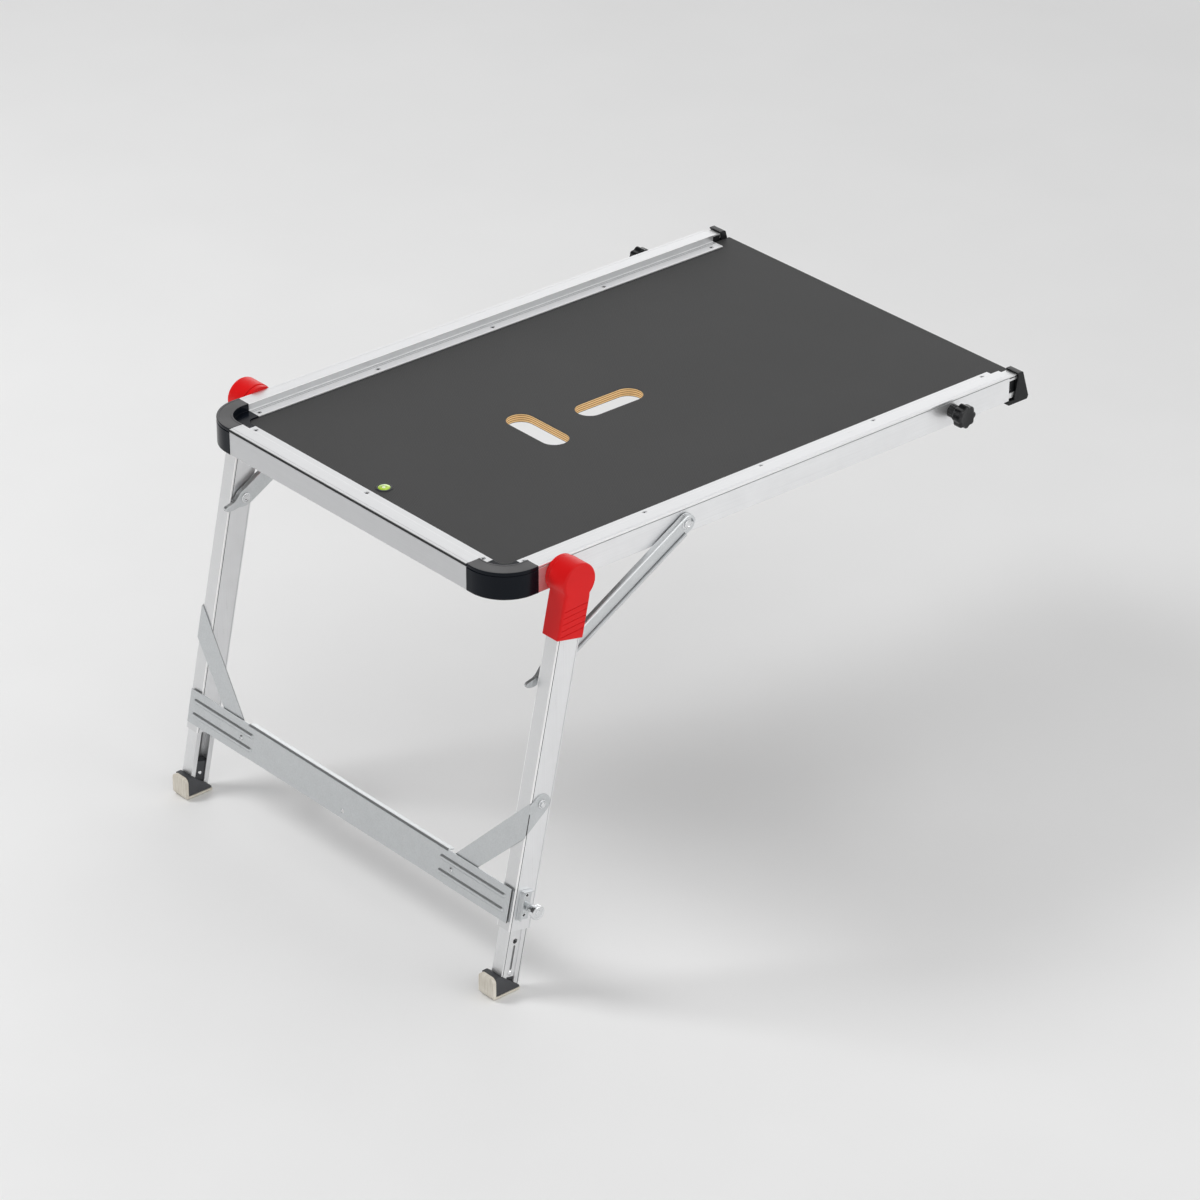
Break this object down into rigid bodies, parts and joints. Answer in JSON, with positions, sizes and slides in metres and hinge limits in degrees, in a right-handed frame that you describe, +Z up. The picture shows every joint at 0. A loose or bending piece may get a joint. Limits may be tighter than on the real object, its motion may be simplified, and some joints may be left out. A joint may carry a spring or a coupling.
{
  "type": "folding stair work platform",
  "caption": "Folding aluminium work platform for stairs: coated plywood deck with carrying slots, hinged telescopic front legs with a crossbar, braces and sliding rear supports.",
  "frame": {"origin": "centre of the bounding box, on the plane of the front feet", "axes": "+X to the right of a person facing up the stairs, +Y up the stairs towards the rear supports, +Z up"},
  "size_m": [0.736, 0.9736, 0.5916],
  "materials": {
    "anodised_aluminium": "satin anodised extrusion",
    "leg_aluminium": "satin anodised extrusion",
    "zinc_steel": "zinc-plated sheet, fine grain",
    "bright_zinc": "bright zinc-plated fasteners",
    "plywood": "birch plywood, sealed edges with visible plies",
    "anti_slip": "phenolic anti-slip film with a fine mesh emboss",
    "black_plastic": "moulded black polyamide, light texture",
    "black_strip": "matt black insert",
    "red_plastic": "moulded red plastic, semi-gloss",
    "grey_plastic": "dark grey moulded plastic",
    "beige_rubber": "matt beige anti-slip rubber",
    "level_green": "green bubble-level fluid under a clear dome"
  },
  "bodies": {
    "deck_frame": {"deck_panel": "plywood", "deck_coating": "anti_slip", "level_housing": "grey_plastic", "level_vial": "level_green", "side_rail_left": "anodised_aluminium", "side_rail_right": "anodised_aluminium", "front_rail": "anodised_aluminium", "front_rail_strip": "black_strip", "corner_cap_left": "black_plastic", "corner_cap_right": "black_plastic", "hinge_boss_left": "red_plastic", "hinge_boss_right": "red_plastic", "pivot_washer_left": "bright_zinc", "pivot_washer_right": "bright_zinc", "deck_screw_left_1": "bright_zinc", "deck_screw_left_2": "bright_zinc", "deck_screw_left_3": "bright_zinc", "deck_screw_left_4": "bright_zinc", "deck_screw_left_5": "bright_zinc", "deck_screw_right_1": "bright_zinc", "deck_screw_right_2": "bright_zinc", "deck_screw_right_3": "bright_zinc", "deck_screw_right_4": "bright_zinc", "deck_screw_right_5": "bright_zinc", "deck_screw_front_1": "bright_zinc", "deck_screw_front_2": "bright_zinc", "deck_screw_front_3": "bright_zinc"},
    "leg_frame": {"leg_tube_left": "leg_aluminium", "leg_tube_right": "leg_aluminium", "hinge_cap_left": "red_plastic", "hinge_cap_right": "red_plastic", "crossbar": "zinc_steel", "crossbar_rivet_left": "bright_zinc", "crossbar_rivet_right": "bright_zinc", "gusset_left": "zinc_steel", "gusset_right": "zinc_steel", "gusset_bolt_left": "bright_zinc", "gusset_bolt_right": "bright_zinc", "plunger_bracket_left": "zinc_steel", "plunger_bracket_right": "zinc_steel", "strut_rivet_left": "bright_zinc", "strut_rivet_right": "bright_zinc"},
    "brace_left": {"strut_left": "zinc_steel", "strut_bolt_left": "bright_zinc"},
    "inner_leg_body_left": {"inner_leg_left": "leg_aluminium", "foot_left": "grey_plastic", "sole_left": "beige_rubber"},
    "plunger_body_left": {"plunger_left": "bright_zinc"},
    "rear_support_left": {"rear_support_tube_left": "anodised_aluminium", "rear_foot_left": "black_plastic"},
    "clamp_knob_body_left": {"clamp_knob_left": "black_plastic"},
    "brace_right": {"strut_right": "zinc_steel", "strut_bolt_right": "bright_zinc"},
    "inner_leg_body_right": {"inner_leg_right": "leg_aluminium", "foot_right": "grey_plastic", "sole_right": "beige_rubber"},
    "plunger_body_right": {"plunger_right": "bright_zinc"},
    "rear_support_right": {"rear_support_tube_right": "anodised_aluminium", "rear_foot_right": "black_plastic"},
    "clamp_knob_body_right": {"clamp_knob_right": "black_plastic"}
  },
  "joints": [
    {"name": "leg_fold", "type": "hinge", "parent": "deck_frame", "child": "leg_frame", "pos_m": [-0.007, -0.3422, 0.5656], "axis": [1, 0, 0], "range_deg": [0, 101.9]},
    {"name": "brace_fold_left", "type": "hinge", "parent": "leg_frame", "child": "brace_left", "pos_m": [-0.3225, -0.37004, 0.4335], "axis": [1, 0, 0], "range_deg": [-137, 2]},
    {"name": "brace_fold_right", "type": "hinge", "parent": "leg_frame", "child": "brace_right", "pos_m": [0.3085, -0.37004, 0.4335], "axis": [1, 0, 0], "range_deg": [-137, 2]},
    {"name": "inner_leg_slide_left", "type": "slide", "parent": "leg_frame", "child": "inner_leg_body_left", "axis": [0, -0.2062, -0.9785], "range_m": [-0.055, 0.08]},
    {"name": "inner_leg_slide_right", "type": "slide", "parent": "leg_frame", "child": "inner_leg_body_right", "axis": [0, -0.2062, -0.9785], "range_m": [-0.055, 0.08]},
    {"name": "plunger_pull_left", "type": "slide", "parent": "leg_frame", "child": "plunger_body_left", "axis": [-1, 0, 0], "range_m": [0, 0.008], "stiffness_N_per_m": 600},
    {"name": "plunger_pull_right", "type": "slide", "parent": "leg_frame", "child": "plunger_body_right", "axis": [1, 0, 0], "range_m": [0, 0.008], "stiffness_N_per_m": 600},
    {"name": "rear_support_slide_left", "type": "slide", "parent": "deck_frame", "child": "rear_support_left", "axis": [0, 1, 0], "range_m": [-0.007, 0.12]},
    {"name": "rear_support_slide_right", "type": "slide", "parent": "deck_frame", "child": "rear_support_right", "axis": [0, 1, 0], "range_m": [-0.007, 0.12]},
    {"name": "clamp_knob_turn_left", "type": "hinge", "parent": "deck_frame", "child": "clamp_knob_body_left", "pos_m": [-0.323, 0.3428, 0.5694], "axis": [1, 0, 0], "continuous": true},
    {"name": "clamp_knob_turn_right", "type": "hinge", "parent": "deck_frame", "child": "clamp_knob_body_right", "pos_m": [0.318, 0.3428, 0.5694], "axis": [1, 0, 0], "continuous": true}
  ],
  "couplings": [
    {"joint": "brace_fold_left", "follows": "leg_fold", "ratio": -1.2881},
    {"joint": "brace_fold_right", "follows": "leg_fold", "ratio": -1.2881}
  ]
}
